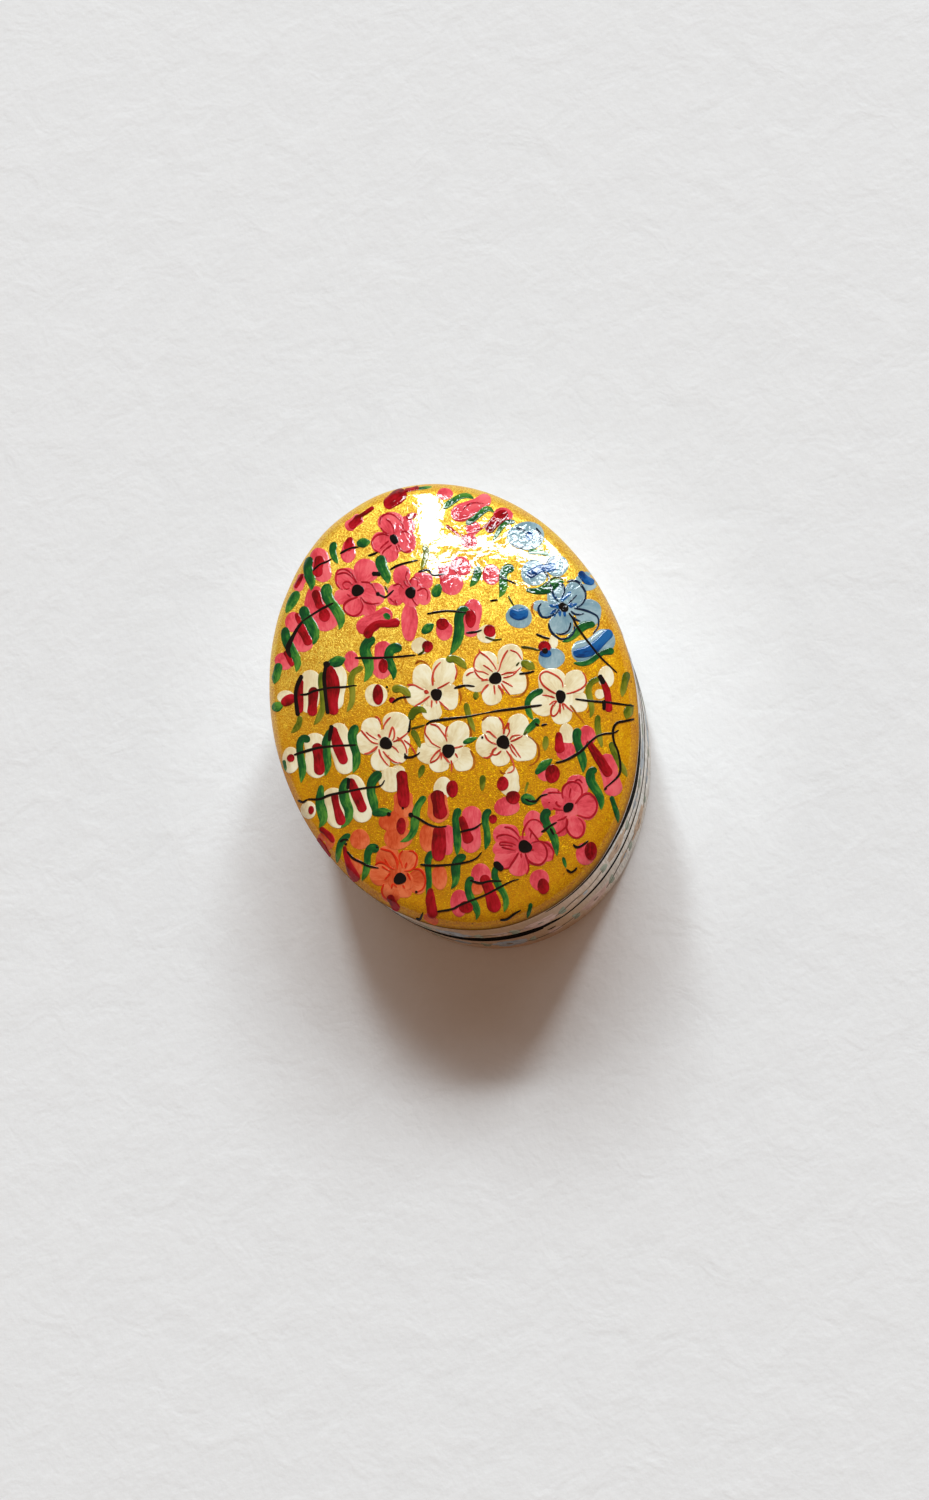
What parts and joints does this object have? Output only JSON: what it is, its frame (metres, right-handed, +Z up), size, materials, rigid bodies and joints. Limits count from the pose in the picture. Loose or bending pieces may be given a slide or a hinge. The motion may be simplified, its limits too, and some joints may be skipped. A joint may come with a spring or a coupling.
{
  "type": "oval trinket box",
  "caption": "Oval papier mache trinket box with a lift-off domed lid, gilded and painted with flowers over silver sides, black inside.",
  "frame": {"origin": "centre of the underside, where the closed box stands on the table", "axes": "+Y along the long axis of the oval, +Z up"},
  "size_m": [0.06, 0.076, 0.038],
  "materials": {
    "card": "matte",
    "black_card": "satin",
    "black_lacquer": "gloss",
    "silver_lacquer": "gloss",
    "gold_lacquer": "gloss"
  },
  "bodies": {
    "base": {"base_wall": "black_card", "base_floor": "card", "base_collar": "black_card", "base_floor_lining": "black_card", "base_underside_coat": "black_lacquer", "base_side_ground": "silver_lacquer"},
    "lid": {"lid_wall": "black_card", "lid_dome": "card", "lid_ceiling_lining": "black_card", "lid_side_ground": "silver_lacquer", "lid_gilded_ground": "gold_lacquer"}
  },
  "joints": [
    {"name": "lid_lift", "type": "slide", "parent": "base", "child": "lid", "axis": [0, 0, 1], "range_m": [0, 0.04]}
  ]
}
